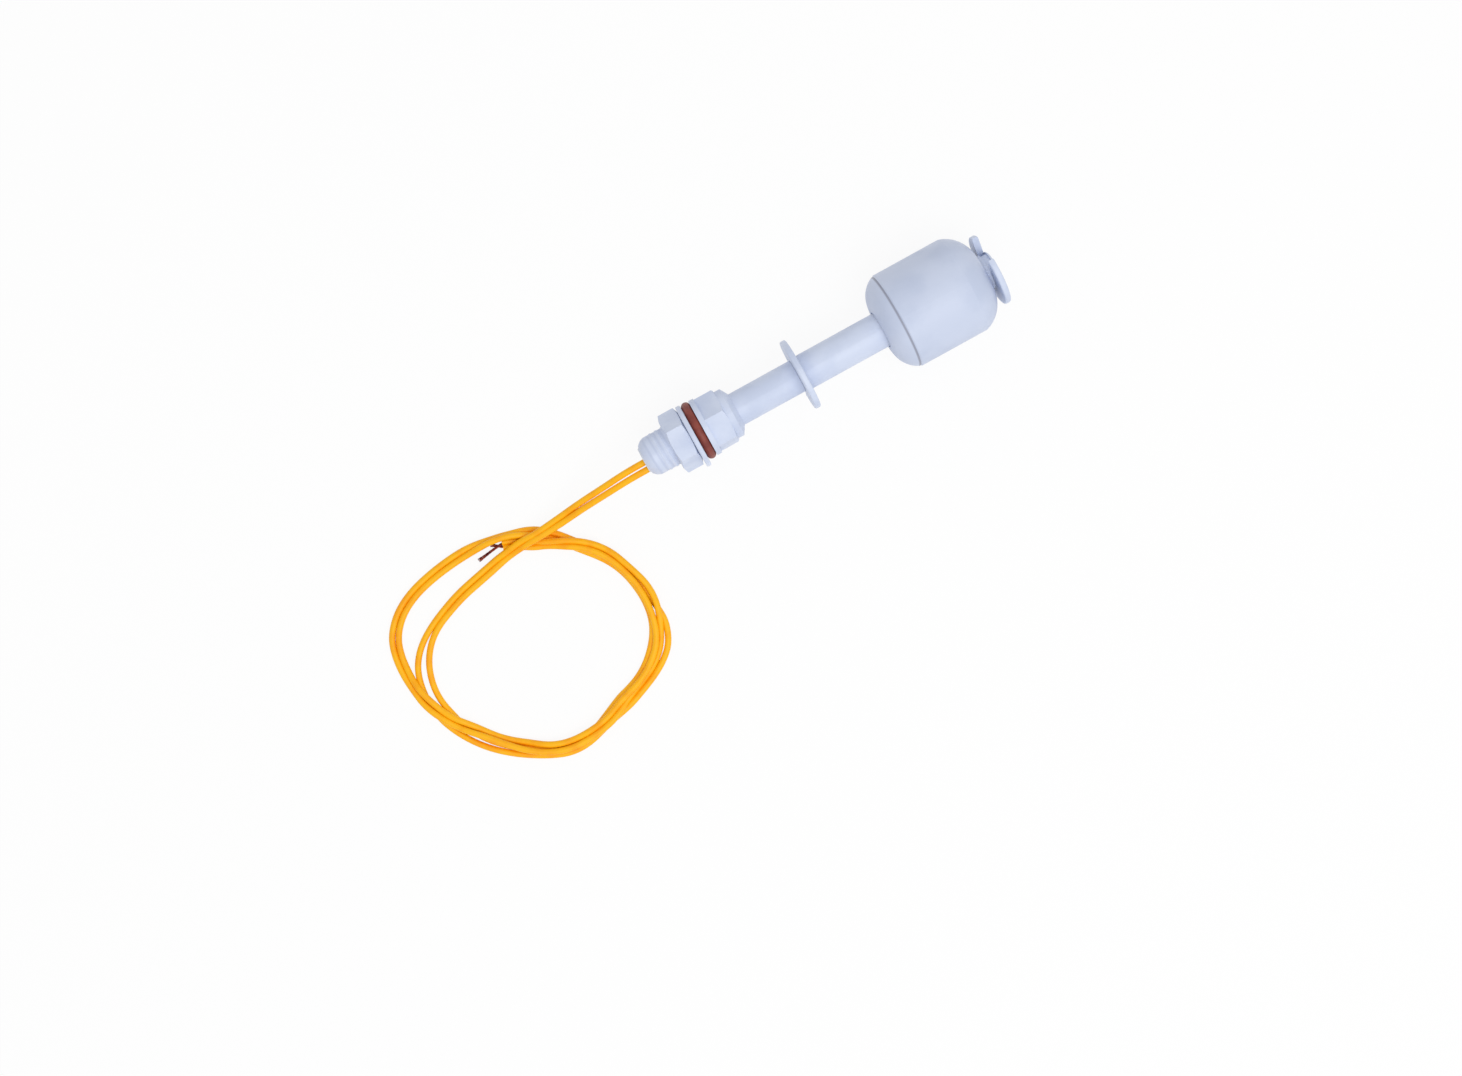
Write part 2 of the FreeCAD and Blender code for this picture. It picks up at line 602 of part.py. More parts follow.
def make_blades(doc):
    """The two reed blades: a round lead, and a flat tongue that reaches past the middle."""
    drop, rise = size(doc, "reed_drop"), size(doc, "wire_height")
    lead, weld = size(doc, "lead_diameter") / 2, size(doc, "lead_weld")
    width, thick = size(doc, "blade_width"), size(doc, "blade_thickness")
    overlap, gap = size(doc, "contact_overlap") / 2, size(doc, "contact_gap") / 2
    start, end = size(doc, REED_START), size(doc, REED_END)
    middle = (start + end) / 2
    root = size(doc, "reed_seal + lead_root")
    outside = size(doc, "lead_length")
    near_lead = Part.makeCylinder(lead, outside + root + weld,
                                  Vector(start - outside, 0, -drop), Vector(1, 0, 0))
    near_tongue = Part.makeBox(middle + overlap - start - root, width, thick,
                               Vector(start + root, -width / 2, -drop + gap))
    feature(doc, "reed_blade_near", near_lead.fuse(near_tongue).removeSplitter())
    foot = end + size(doc, "far_lead_stub")
    top = foot + size(doc, "far_lead_rise")
    far_lead = pipe(((end - root - weld, 0, -drop), (foot, 0, -drop), (top, 0, rise),
                     (top + size(doc, "far_lead_grip"), 0, rise)), lead, "far lead")
    far_tongue = Part.makeBox(end - root - middle + overlap, width, thick,
                              Vector(middle - overlap, -width / 2, -drop - gap - thick))
    feature(doc, "reed_blade_far", far_lead.fuse(far_tongue).removeSplitter())


def make_inner_wires(doc):
    """The wires inside the stem: a short one to the near lead, a long one past the capsule."""
    radius = size(doc, "wire_diameter") / 2
    drop, rise = size(doc, "reed_drop"), size(doc, "wire_height")
    near, far = size(doc, NEAR_JOINT), size(doc, FAR_JOINT)
    grip, rest = size(doc, "wire_grip"), size(doc, "wire_rest")
    mouth = size(doc, RECESS_END)

    def start(run, bends):
        """The straight start of a wire in the resin, and its bends in the bore."""
        x, y, z = run[0]
        return ((x, y, z), (x + grip, y, z), *((mouth + x, y, z) for x, y, z in bends))

    short = (*start(WIRE_A_RUN, WIRE_A_BORE), (near - rest, 0.0, -drop), (near, 0.0, -drop))
    long = (*start(WIRE_B_RUN, WIRE_B_BORE), (far - rest, 0.0, rise), (far, 0.0, rise))
    feature(doc, "wire_a_inner", pipe(short, radius, "short inner wire"))
    feature(doc, "wire_b_inner", pipe(long, radius, "long inner wire"))


def solder_drop(doc, low, height):
    """A drop of solder along the axis, tapered at both ends."""
    length, radius = size(doc, "joint_length"), size(doc, "joint_diameter") / 2
    nose, end_radius = size(doc, "joint_nose"), size(doc, "joint_end_diameter") / 2
    along = Vector(1, 0, 0)
    middle = Part.makeCylinder(radius, length - 2 * nose, Vector(low + nose, 0, height), along)
    start = Part.makeCone(end_radius, radius, nose, Vector(low, 0, height), along)
    end = Part.makeCone(radius, end_radius, nose, Vector(low + length - nose, 0, height), along)
    return middle.fuse([start, end]).removeSplitter()


def make_joints(doc):
    """The solder joints, and the insulating sleeve over the near one."""
    drop, rise = size(doc, "reed_drop"), size(doc, "wire_height")
    near, far = size(doc, NEAR_JOINT), size(doc, FAR_JOINT)
    feature(doc, "solder_near", solder_drop(doc, near, -drop).cut(doc.reed_blade_near.Shape))
    feature(doc, "solder_far", solder_drop(doc, far, rise).cut(doc.reed_blade_far.Shape))
    inner = size(doc, "wire_diameter") / 2 + size(doc, "insulator_play")
    outer = inner + size(doc, "insulator_wall")
    sleeve_length = size(doc, "insulator_length")
    low = Vector(near - (sleeve_length - size(doc, "joint_length")) / 2, 0, -drop)
    along = Vector(1, 0, 0)
    sleeve = Part.makeCylinder(outer, sleeve_length, low, along).cut(
        Part.makeCylinder(inner, sleeve_length, low, along))
    feature(doc, "insulating_sleeve", sleeve)


def make_potting(doc):
    """The resin that closes the shank and grips the two wires."""
    radius, crown = size(doc, "potting_diameter") / 2, size(doc, "potting_crown")
    start, depth = -size(doc, "shank_length"), size(doc, "potting_depth")
    along = Vector(1, 0, 0)
    plug = Part.makeCylinder(radius, depth - crown, Vector(start + crown, 0, 0), along)
    dome = Part.makeCone(radius - size(doc, "potting_slope"), radius, crown, Vector(start, 0, 0), along)
    resin = plug.fuse(dome).removeSplitter()
    resin = resin.cut([doc.wire_a_inner.Shape, doc.wire_b_inner.Shape])
    feature(doc, "potting_plug", resin)


def coil_radius(angle, terms):
    """A polar radius, from (size, waves, phase) terms."""
    return sum(term * math.cos(math.radians(waves * angle - phase)) for term, waves, phase in terms)


def closed_curve(points):
    curve = Part.BSplineCurve()
    curve.interpolate(points, PeriodicFlag=True)
    return Part.Wire(curve.toShape())


def coil_point(angle, radius, height):
    x, y = COIL_CENTRE
    return Vector(x + radius * math.cos(math.radians(angle)),
                  y + radius * math.sin(math.radians(angle)), height)


def make_coil(doc):
    """The coil of both wires as one flat ring, with the slit where its turns part."""
    floor = -size(doc, "float_diameter") / 2
    edges = []
    for terms in (COIL_OUTER, COIL_INNER):
        edges.append(closed_curve([
            coil_point(step * 360 / COIL_POINTS, coil_radius(step * 360 / COIL_POINTS, terms), floor)
            for step in range(COIL_POINTS)]))
    slit = []
    for side in (1, -1):
        steps = range(SLIT_POINTS) if side > 0 else range(SLIT_POINTS, 0, -1)
        for step in steps:
            part = step / SLIT_POINTS
            angle = SLIT_FROM + part * (SLIT_TO - SLIT_FROM)
            middle = SLIT_RADIUS + SLIT_GROWTH * part ** 2
            half = SLIT_HALF_WIDTH * math.sin(math.pi * part)
            slit.append(coil_point(angle, middle + side * half, floor))
    edges.append(closed_curve(slit))
    face = Part.Face(edges[0])
    for hole in edges[1:]:
        face = face.cut(Part.Face(hole))
    ring = face.extrude(Vector(0, 0, size(doc, "coil_height")))
    feature(doc, "wire_coil", ring.Solids[0])


def make_wires(doc):
    """The wires outside the stem: their runs to the coil, the coil and their bare ends."""
    wire, core = size(doc, "wire_diameter") / 2, size(doc, "core_diameter") / 2
    feature(doc, "wire_a_run", pipe(WIRE_A_RUN, wire, "wire A"))
    feature(doc, "wire_b_run", pipe(WIRE_B_RUN, wire, "wire B"))
    make_coil(doc)
    feature(doc, "wire_a_core", pipe(CORE_A_RUN, core, "core A"))
    feature(doc, "wire_b_core", pipe(CORE_B_RUN, core, "core B"))


def check_and_write(doc):
    """Stop if any object failed, then write one file for each sub-part."""
    doc.recompute()
    for item in doc.Objects:
        if "Invalid" in item.State or "Error" in item.State:
            raise RuntimeError(f"{item.Label} failed: {item.State}")
    pieces = [item for item in doc.Objects
              if item.TypeId in ("PartDesign::Body", "Part::Feature", "Part::Torus")]
    for piece in pieces:
        shape = piece.Shape
        if shape.isNull() or not shape.isValid() or len(shape.Solids) != 1:
            raise RuntimeError(f"{piece.Label} isn't one valid solid")
    os.makedirs("parts", exist_ok=True)
    for piece in pieces:
        piece.Shape.exportStep(f"parts/{piece.Label}.step")
        box = piece.Shape.BoundBox
        print(f"{piece.Label:18s} {piece.Shape.Volume:9.2f} mm3  x {box.XMin:7.2f} {box.XMax:7.2f}"
              f"  y {box.YMin:7.2f} {box.YMax:7.2f}  z {box.ZMin:7.2f} {box.ZMax:7.2f}")


def main():
    doc = FreeCAD.newDocument("float_level_switch")
    make_sheet(doc)
    make_stem_housing(doc)
    make_nut(doc)
    make_washer(doc)
    make_seal_ring(doc)
    make_clip(doc, "stop_clip", "stop_clip_place", "stop_clip_turn")
    make_clip(doc, "end_clip", END_CLIP_PLACE, "end_clip_turn")
    make_float_cup(doc)
    make_float_lid(doc)
    make_magnet(doc)
    make_reed_glass(doc)
    make_blades(doc)
    make_inner_wires(doc)
    make_joints(doc)
    make_potting(doc)
    make_wires(doc)
    check_and_write(doc)


main()
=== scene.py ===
# %% [markdown]
# # A float level switch
# A small switch for a water tank. A float with a ring magnet slides on a plastic stem, and
# the magnet closes a reed switch that is sealed inside. The solid parts come from the CAD
# model, so this script adds what CAD leaves plain: the thread, the two loose wires with
# their bare copper ends, and the finish of each surface. Every length is in metres.

# %% Loading the frame
import json
import math

import bmesh
import bpy
import numpy as np
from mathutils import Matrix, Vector


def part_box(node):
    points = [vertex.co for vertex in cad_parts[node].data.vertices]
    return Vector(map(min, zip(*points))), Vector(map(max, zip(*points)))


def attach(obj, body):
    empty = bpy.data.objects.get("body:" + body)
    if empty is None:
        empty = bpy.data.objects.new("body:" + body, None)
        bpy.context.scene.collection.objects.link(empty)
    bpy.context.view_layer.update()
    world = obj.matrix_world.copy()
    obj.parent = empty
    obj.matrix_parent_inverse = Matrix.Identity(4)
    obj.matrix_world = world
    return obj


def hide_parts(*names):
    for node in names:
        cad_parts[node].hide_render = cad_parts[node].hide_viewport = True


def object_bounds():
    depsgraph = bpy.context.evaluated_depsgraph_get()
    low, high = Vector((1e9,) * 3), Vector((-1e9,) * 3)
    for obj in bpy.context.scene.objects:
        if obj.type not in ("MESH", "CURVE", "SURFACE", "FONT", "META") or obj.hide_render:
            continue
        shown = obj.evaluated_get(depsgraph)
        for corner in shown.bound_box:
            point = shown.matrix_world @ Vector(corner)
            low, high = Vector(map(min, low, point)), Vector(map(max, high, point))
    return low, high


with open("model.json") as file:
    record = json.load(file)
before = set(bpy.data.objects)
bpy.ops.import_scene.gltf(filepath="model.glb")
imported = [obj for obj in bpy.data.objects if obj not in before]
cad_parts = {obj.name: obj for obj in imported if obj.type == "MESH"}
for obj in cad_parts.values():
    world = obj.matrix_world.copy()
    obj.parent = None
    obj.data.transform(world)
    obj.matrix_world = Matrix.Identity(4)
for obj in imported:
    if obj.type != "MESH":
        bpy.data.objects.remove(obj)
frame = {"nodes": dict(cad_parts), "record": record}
cad_low, cad_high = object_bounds()
MM = 0.001
FLOOR = cad_low.z
print(f"CAD box: {[round(x / MM, 1) for x in cad_high - cad_low]} mm")

# %% [markdown]
# ## The camera
# The switch lies on the floor and is seen from straight above, from about 40 centimetres.
# The stem runs up to the right, so the camera is turned about the upright. A lens is
# easier to choose by what it should see: the width of floor that fills the view and the
# camera's height give the focal length. A small shift then puts the switch a little above
# and left of the middle without tilting the camera.

# %% Making the camera
VIEW_HEIGHT = 0.41
VIEW_WIDTH = 0.2734
VIEW_TURN = 28.9
VIEW_SPOT = (-0.001, 0.0)
VIEW_SHIFT = (0.0225, -0.0734)

lens = bpy.data.cameras.new("camera")
lens.sensor_width = 36.0
lens.lens = lens.sensor_width * VIEW_HEIGHT / VIEW_WIDTH
lens.shift_x, lens.shift_y = VIEW_SHIFT
lens.clip_start, lens.clip_end = 0.01, 10.0
camera = bpy.data.objects.new("camera", lens)
camera.location = (*VIEW_SPOT, VIEW_HEIGHT)
camera.rotation_euler = (0.0, 0.0, -math.radians(VIEW_TURN))
bpy.context.scene.collection.objects.link(camera)
bpy.context.scene.camera = camera
print(f"camera lens {lens.lens:.1f} mm")

# %% [markdown]
# ## How the coil of wire lies
# Both wires leave the shank side by side, cross over the coil and go round it twice. The first turn is
# the inner one at the top, the second the outer one, and below they share one loose bundle. A spiral
# from a formula would look wound on a drum. So the distance of each strand from the middle of the coil
# was read from real wires, in millimetres, every 10 degrees from the place where the wire comes down
# onto the coil.
#
# The distances are as seen from above, in the plane of the stem. The coil lies on the
# floor, a little farther from the eye, so it is made slightly larger to look the same.

# %% Writing down the distances
WIRE = 1.25 * MM
COIL_CENTRE = Vector((-48.35, -20.3)) * MM
COIL_SCALE = 1.02
FIRST_ANGLE = 60
TABLE_STEP = 10
# The first turn, the second turn, and the last bit before the bare end.
RADII = {
    "a": ([20.4, 18.9, 17.5, 16.4, 16.0, 16.1, 16.7, 17.4, 18.9, 20.6, 22.0, 22.6,
           22.6, 22.3, 21.9, 21.5, 21.2, 20.9, 20.8, 21.2, 21.9, 21.7, 20.8, 20.7,
           21.3, 22.3, 24.3, 25.9, 25.5, 24.0, 23.2, 22.9, 22.0, 21.0, 20.5, 20.8],
          [21.0, 20.9, 20.8, 21.1, 21.7, 22.4, 23.5, 25.0, 26.3, 26.8, 25.5, 24.4,
           23.2, 22.1, 20.8, 19.7, 19.3, 19.5, 20.0, 20.5, 20.9, 20.7, 20.5, 20.8,
           20.6, 21.5, 23.1, 24.2, 24.4, 24.8, 24.2, 22.9, 22.8, 21.9, 20.6, 19.6],
          [19.0, 19.2, 19.9]),
    "b": ([19.4, 17.9, 16.5, 15.6, 15.3, 15.5, 16.0, 16.7, 17.9, 19.0, 19.8, 20.2,
           20.4, 20.2, 20.0, 19.9, 19.8, 19.7, 19.6, 19.9, 20.6, 20.4, 19.7, 19.3,
           19.1, 20.7, 21.7, 22.5, 23.2, 22.8, 22.4, 21.9, 21.2, 20.3, 19.7, 20.0],
          [20.5, 20.9, 20.8, 20.8, 20.9, 21.4, 22.5, 24.0, 25.2, 25.5, 24.5, 23.2,
           22.0, 20.9, 19.6, 18.8, 18.6, 18.7, 19.0, 19.6, 19.8, 19.8, 20.0, 20.0,
           19.7, 21.2, 22.4, 23.3, 23.4, 23.0, 22.6, 21.9, 21.7, 20.9, 19.8, 18.9],
          [18.3, 18.5, 18.9]),
}
print({name: f"{sum(map(len, turns))} distances" for name, turns in RADII.items()})

# %% [markdown]
# ## Which strand lies on top
# Where strands cross, one lies on the other. Each pair of numbers is an angle, counted on
# through both turns, and a level there: 0 is on the floor, 1 is on another strand, and 2
# is on top of two. Between two pairs the level changes evenly. Both wires come down from
# the shank over everything else, so they start at 2, and their ends lie on the floor. A
# level is a little less than a wire's thickness, as strands lie in the dips between others.

# %% Placing the strands
LEVELS = {
    "a": [(60, 2.0), (70, 1.4), (80, 0.9), (130, 0.7), (150, 0), (510, 0), (530, 1), (700, 1),
          (750, 1), (770, 0.6), (780, 0), (800, 0)],
    "b": [(60, 2.0), (70, 1.2), (80, 0.2), (90, 0), (410, 0.2), (425, 1), (445, 1), (465, 0),
          (510, 0), (530, 1), (560, 1), (575, 0), (600, 0), (615, 1), (750, 1), (770, 0.6),
          (780, 0), (800, 0)],
}
LAST_ANGLE = 798
FINE_STEP = 3
LAYER = 0.95


def strand(name):
    """The points of one wire round the coil, every few degrees."""
    radii = sum(RADII[name], [])
    angles = FIRST_ANGLE + TABLE_STEP * np.arange(len(radii))
    fine = np.arange(FIRST_ANGLE, LAST_ANGLE + 1, FINE_STEP)
    radius = COIL_SCALE * np.interp(fine, angles, radii) * MM
    height = FLOOR + WIRE / 2 + np.interp(fine, *zip(*LEVELS[name])) * LAYER * WIRE
    turn = np.radians(fine)
    return np.stack([COIL_CENTRE.x + radius * np.cos(turn),
                     COIL_CENTRE.y + radius * np.sin(turn), height], axis=1)


strands = {name: strand(name) for name in RADII}
print({name: f"{len(points)} points" for name, points in strands.items()})

# %% [markdown]
# ## Letting the strands settle
# Places that are read off always run into each other somewhere. A physics simulation of thin wire is
# slow and hard to steer, so a plain loop does what gravity and contact would do.
# In each round, points of different strands that are closer than a wire's thickness are
# pushed apart, each strand is smoothed a little, pulled back a little towards its first
# place, and sinks until it meets the floor. Points that are neighbours along one wire are
# always close, so they are left out of the pushing.

# %% Settling the strands
ROUNDS = 260
NEIGHBOURS = 6
PUSH = 0.4
SMOOTHING = 0.08
PULL = 0.05
SINKING = 0.01 * MM


def settle(lines):
    """Pushes strands apart where they touch, keeps them smooth and lets them sink."""
    points = np.concatenate(lines)
    place = points.copy()
    starts = np.cumsum([0] + [len(line) for line in lines])
    number = np.arange(len(points))
    owner = np.searchsorted(starts, number, side="right")
    same = (owner[:, None] == owner) & (abs(number[:, None] - number) < NEIGHBOURS)
    for _ in range(ROUNDS):
        apart = points[:, None] - points
        distance = np.linalg.norm(apart, axis=2) + 1e-9
        touching = (distance < WIRE) & ~same
        push = np.where(touching, (WIRE - distance) / distance, 0)[..., None] * apart
        points += PUSH * push.sum(1) / np.maximum(touching.sum(1), 1)[:, None]
        for low, high in zip(starts, starts[1:]):
            line = points[low:high]
            line[1:-1] += SMOOTHING * (line[:-2] + line[2:] - 2 * line[1:-1])
        points[:, :2] += PULL * (place[:, :2] - points[:, :2])
        points[:, 2] = np.maximum(points[:, 2] - SINKING, FLOOR + WIRE / 2)
        points[starts[:-1]] = place[starts[:-1]]
    return [points[low:high] for low, high in zip(starts, starts[1:])]


settled = dict(zip(strands, settle(list(strands.values()))))
print({name: f"top {(points[:, 2].max() - FLOOR) / MM:.1f} mm above the floor"
       for name, points in settled.items()})

# %% [markdown]
# ## A curve with a round section
# A wire is a long round thing, so a curve with a round bevel suits it: it stays easy to
# edit, and its thickness is one number. A NURBS curve is drawn towards its control points
# and rounds each bend without corners. The bevel's depth is 1 and each point's radius is
# half the thickness, and not the other way round, because Blender adds the point's radius
# to the bounding box as it stands, and a radius of 1 would make the box a metre too large.
#
# Where only the smooth line itself is needed, the same curve is made without thickness,
# turned into a mesh, read and thrown away.

# %% Making curves
def open_curve(name, points, thickness):
    """A curve object with one smooth open line through control points."""
    data = bpy.data.curves.new(name, "CURVE")
    data.dimensions = "3D"
    data.bevel_depth = 1.0 if thickness else 0.0
    data.bevel_resolution = 5
    data.resolution_u = 5
    data.use_fill_caps = True
    line = data.splines.new("NURBS")
    line.points.add(len(points) - 1)
    for point, place in zip(line.points, points):
        point.co = (*place, 1.0)
        point.radius = thickness / 2
    line.order_u = 3
    line.use_endpoint_u = True
    piece = bpy.data.objects.new(name, data)
    bpy.context.scene.collection.objects.link(piece)
    return piece


def line_of(points):
    """The smooth line that a curve with these control points follows."""
    guide = open_curve("guide", points, 0.0)
    mesh = bpy.data.meshes.new_from_object(guide)
    line = [vertex.co.copy() for vertex in mesh.vertices]
    bpy.data.meshes.remove(mesh)
    bpy.data.curves.remove(guide.data)
    return line


bend = line_of([(0, 0, 0), (1, 0, 0), (1, 1, 0)])
print(f"a bend through 3 control points has {len(bend)} points")

# %% [markdown]
# ## The wires
# Each wire is one line from the resin to its bare end: a free run that leaves the shank
# along its axis and comes down to the coil, in millimetres, and then its settled strand.
# Every second point of the strand is enough, because the curve is smooth between them.

# %% Making the two wires
RUNS = {
    "a": [(-12.6, -0.3, 0.0), (-16.4, -0.3, 0.0), (-21.8, -0.75, -2.1), (-27.2, -1.12, -4.4),
          (-32.6, -1.75, -6.05)],
    "b": [(-12.6, -1.78, 0.0), (-16.2, -1.78, 0.0), (-22.0, -2.12, -2.3), (-27.4, -2.42, -4.3),
          (-32.8, -2.95, -6.0)],
}
COIL_STRIDE = 2

wires = {}
for name, run in RUNS.items():
    route = [Vector(point) * MM for point in run]
    route += [Vector(point) for point in settled[name][::COIL_STRIDE]]
    wires[name] = open_curve(f"wire_{name}", route, WIRE)
    line = line_of(route)
    length = sum((after - point).length for point, after in zip(line, line[1:]))
    print(f"wire_{name}: {len(route)} points, {length / MM:.0f} mm long")

# %% [markdown]
# ## Tubes for the strands of copper
# The last few millimetres are stripped. The copper inside is a bundle of thin strands,
# lightly twisted. Curves would do again, but seven strands of each end are one piece, so
# they are small tubes in one mesh. A tube is a ring of corners at each point of its line.
# The ring's side direction is carried along from point to point, so it doesn't twist.

# %% Making tubes
SIDES = 8


def ahead_of(line, index):
    """The direction of a line at one of its points."""
    return (line[min(index + 1, len(line) - 1)] - line[max(index - 1, 0)]).normalized()


def tube(mesh, line, radius):
    """Adds a closed round tube along a line to a bmesh."""
    rings, side = [], Vector((0, 0, 1))
    for index, point in enumerate(line):
        ahead = ahead_of(line, index)
        side = (side - ahead * side.dot(ahead)).normalized()
        other = ahead.cross(side)
        turns = [2 * math.pi * k / SIDES for k in range(SIDES)]
        rings.append([mesh.verts.new(point + radius * (math.cos(turn) * side + math.sin(turn) * other))
                      for turn in turns])
    for ring, following in zip(rings, rings[1:]):
        for k in range(SIDES):
            after = (k + 1) % SIDES
            mesh.faces.new((ring[k], ring[after], following[after], following[k]))
    mesh.faces.new(reversed(rings[0]))
    mesh.faces.new(rings[-1])


print(f"a tube of 2 rings has {SIDES + 2} faces")

# %% [markdown]
# ## From corners to a piece
# Two more helpers are needed for the copper, and later for the thread. One turns the
# corners and faces that a function has gathered into an object. The other puts points on a
# line at even steps, because a curve's own points lie closer together in its bends.

# %% Making pieces and even steps
def new_piece(name, mesh):
    """An object from a bmesh, with smooth faces."""
    bmesh.ops.recalc_face_normals(mesh, faces=mesh.faces)
    data = bpy.data.meshes.new(name)
    mesh.to_mesh(data)
    mesh.free()
    data.shade_smooth()
    piece = bpy.data.objects.new(name, data)
    bpy.context.scene.collection.objects.link(piece)
    return piece


def evenly(line, step):
    """Points along a line, one every step."""
    points = np.array(line)
    along = np.concatenate([[0], np.cumsum(np.linalg.norm(np.diff(points, axis=0), axis=1))])
    at = np.arange(0, along[-1], step)
    return [Vector([np.interp(x, along, points[:, k]) for k in range(3)]) for x in at]


print(f"the bend above in steps of a tenth: {len(evenly(bend, 0.1))} points")

# %% [markdown]
# ## The bare ends
# One strand runs down the middle of the bundle, and six wind round it in a helix. The
# share of the way to the tip, to the fourth power, is near 0 for most of the length and
# rises at the end, so only the tip frays. One end is longer than the other, as when both
# wires are stripped by hand, and the two cross.

# %% Making the copper ends
STRANDS = 7
STRAND = 0.17 * MM
LAY = 4.5 * MM
COPPER_STEP = 0.15 * MM
FRAY = 0.9
ENDS = {
    "a": [(-43.6, -0.75, -8.95), (-45.0, -0.85, -8.7), (-46.7, -1.05, -8.8), (-48.3, -1.3, -9.05),
          (-49.8, -1.5, -9.15)],
    "b": [(-43.6, -1.85, -9.0), (-44.3, -1.5, -9.15), (-45.0, -0.95, -9.2), (-45.7, -0.4, -9.15),
          (-46.4, 0.1, -9.1)],
}


def copper_end(name):
    """The twisted strands of one bare end, which fray a little at the tip."""
    middle = evenly(line_of([Vector(point) * MM for point in ENDS[name]]), COPPER_STEP)
    around = STRANDS - 1
    mesh = bmesh.new()
    for number in range(STRANDS):
        line, side = [], Vector((0, 0, 1))
        for index, point in enumerate(middle):
            share = index / (len(middle) - 1)
            ahead = ahead_of(middle, index)
            side = (side - ahead * side.dot(ahead)).normalized()
            turn = 2 * math.pi * (index * COPPER_STEP / LAY + number / around)
            reach = 0.0 if number == around else STRAND * (1.0 + FRAY * share ** 4)
            line.append(point + reach * (math.cos(turn) * side + math.sin(turn) * ahead.cross(side)))
        tube(mesh, line, STRAND / 2)
    return new_piece(f"copper_{name}", mesh)


copper = {name: copper_end(name) for name in ENDS}
print({name: f"{len(piece.data.polygons)} faces" for name, piece in copper.items()})

# %% [markdown]
# ## Telling the frame about the wires
# The CAD model holds the wires' free runs, one ring-like solid for the loose turns and a plain rod for
# each bare end. The new pieces stand for those, so both aren't shown. Wires and copper go where the
# stem goes.

# %% Attaching the wires to the stem
for name, wire in wires.items():
    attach(wire, "stem")
    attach(copper[name], "stem")
    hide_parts(f"wire_{name}_run", "wire_coil")
    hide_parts(f"wire_{name}_core")

# %% [markdown]
# ## The bare shank
# The shank carries a fine right-hand thread with soft moulded edges. In the CAD model the
# shank is the smooth cylinder below it, which ends in a round nose. The thread has to
# follow that shape, so the shank's radius is worked out for any place along the axis.

# %% Measuring the shank
SHANK_RADIUS = 3.85 * MM
NOSE_RADIUS = 3.15 * MM
NOSE_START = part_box("stem_housing")[0].x + NOSE_RADIUS


def shank_radius(x):
    """The radius of the bare shank, which ends in a round nose."""
    past = max(0.0, NOSE_START - x)
    return SHANK_RADIUS - NOSE_RADIUS + math.sqrt(NOSE_RADIUS ** 2 - past ** 2)


print(f"the nose starts at x = {NOSE_START / MM:.2f} mm")

# %% [markdown]
# ## The thread
# One ridge is wound round the shank. Its profile is a few corners, each given by how far
# it lies along the axis from the ridge's middle and how high above the shank. The two
# outer corners lie below the shank's surface, so no gap shows. The profile is repeated
# along a helix and neighbours are joined. The ridge rises quickly behind the collar and
# dies out slowly on the nose, as a moulded thread does.

# %% Winding the thread
PITCH = 1.25 * MM
THREAD_FROM, THREAD_TO = -0.6 * MM, -11.5 * MM
CREST = 0.12
RIDGE = [(-0.45, -CREST), (-0.3, 0.0), (-0.14, CREST), (0.14, CREST), (0.3, 0.0), (0.45, -CREST)]
STEPS_PER_TURN = 72
TURNS_TO_RISE, TURNS_TO_DIE = 1 / 3, 1.8


def thread_ring(mesh, step, steps):
    """The ridge's corners at one step round the helix."""
    turns = step / STEPS_PER_TURN
    left = (steps - step) / STEPS_PER_TURN
    fade = min(1.0, turns / TURNS_TO_RISE, left / TURNS_TO_DIE)
    angle = -2 * math.pi * turns
    ring = []
    for along, height in RIDGE:
        x = THREAD_FROM - PITCH * turns + along * MM
        radius = shank_radius(x) + (height if height < 0 else height * fade) * MM
        ring.append(mesh.verts.new((x, radius * math.cos(angle), radius * math.sin(angle))))
    return ring


def thread():
    """A helical ridge on the shank, as a strip of the profile's corners."""
    mesh = bmesh.new()
    steps = int((THREAD_FROM - THREAD_TO) / PITCH * STEPS_PER_TURN)
    rings = [thread_ring(mesh, step, steps) for step in range(steps + 1)]
    for ring, following in zip(rings, rings[1:]):
        for k in range(len(RIDGE)):
            after = (k + 1) % len(RIDGE)
            mesh.faces.new((ring[k], ring[after], following[after], following[k]))
    mesh.faces.new(rings[0])
    mesh.faces.new(reversed(rings[-1]))
    return new_piece("shank_thread", mesh)


ridge = thread()
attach(ridge, "stem")
print(f"thread: {len(ridge.data.polygons)} faces")

# %% [markdown]
# ## Maths for materials
# A material's pattern is a sum of numbers that change from point to point. Blender draws
# that sum as a web of Math nodes, which is hard to read. This small class wraps a socket,
# so that a line such as `0.4 + 0.1 * grain` makes those nodes by itself.

# %% A socket that can be added and multiplied
class Signal:
    """An output socket that Python's operators turn into Math nodes."""

    def __init__(self, web, socket):
        self.web, self.socket = web, socket

    def sibling(self, output):
        """Another output of the same node."""
        return Signal(self.web, self.socket.node.outputs[output])

    def maths(self, operation, other, other_first=False):
        """This signal and another value, through one Math node."""
        first, second = (other, self) if other_first else (self, other)
        return self.web.node("ShaderNodeMath", {"operation": operation}, {0: first, 1: second})

    def __add__(self, other):
        return self.maths("ADD", other)

    def __mul__(self, other):
        return self.maths("MULTIPLY", other)

    def __sub__(self, other):
        return self.maths("SUBTRACT", other)

    def __rsub__(self, other):
        return self.maths("SUBTRACT", other, other_first=True)

    __radd__, __rmul__ = __add__, __mul__


print("a signal also works on the right of a sign:",
      [name for name in vars(Signal) if name.startswith("__r")])

